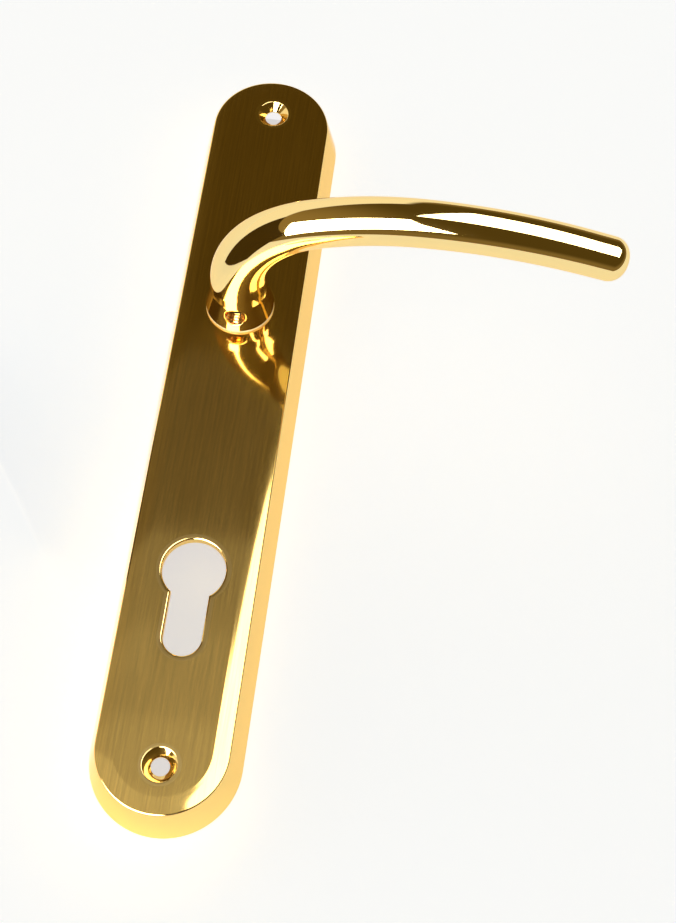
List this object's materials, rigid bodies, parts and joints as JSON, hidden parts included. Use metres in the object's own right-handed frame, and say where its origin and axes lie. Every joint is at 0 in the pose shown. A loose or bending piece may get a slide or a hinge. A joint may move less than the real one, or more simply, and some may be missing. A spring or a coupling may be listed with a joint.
{
  "type": "door lever handle on backplate",
  "caption": "Brass door lever on a long round-ended backplate with an open euro-profile cylinder cut-out, countersunk fixing holes and a sprung cassette behind the plate.",
  "frame": {"origin": "where the lever's turning axis meets the plane of the plate's back", "axes": "+X along the lever towards its free end, +Y up the plate away from the cylinder cut-out, +Z out of the plate's face"},
  "size_m": [0.1272, 0.2414, 0.0726],
  "materials": {
    "plate_brass": "brushed face, polished border and side wall",
    "lever_brass": "mirror polished and lacquered",
    "blackened_steel": "blackened",
    "nylon": "moulded",
    "zinc_plated_steel": "bright zinc plated",
    "bright_steel": "turned",
    "spring_steel": "drawn and oiled"
  },
  "bodies": {
    "plate": {"back_plate": "plate_brass", "neck_bush": "nylon", "thrust_washer": "nylon", "cassette_cup": "zinc_plated_steel", "return_spring": "spring_steel", "anchor_pin": "bright_steel", "stop_pin_left": "bright_steel", "stop_pin_right": "bright_steel", "cassette_rivet_left": "bright_steel", "cassette_rivet_right": "bright_steel", "cassette_cover": "zinc_plated_steel", "cover_screw_upper": "zinc_plated_steel", "cover_screw_lower": "zinc_plated_steel", "lock_washer_upper": "spring_steel", "lock_washer_lower": "spring_steel"},
    "lever": {"lever_handle": "lever_brass", "grub_screw": "blackened_steel", "drive_plate": "bright_steel", "spring_washer": "spring_steel", "retaining_ring": "spring_steel"}
  },
  "joints": [
    {"name": "lever_turn", "type": "hinge", "parent": "plate", "child": "lever", "pos_m": [0, 0, 0], "axis": [0, 0, 1], "range_deg": [-45, 45], "stiffness_Nm_per_rad": 0.8, "deforming": ["return_spring"]}
  ]
}
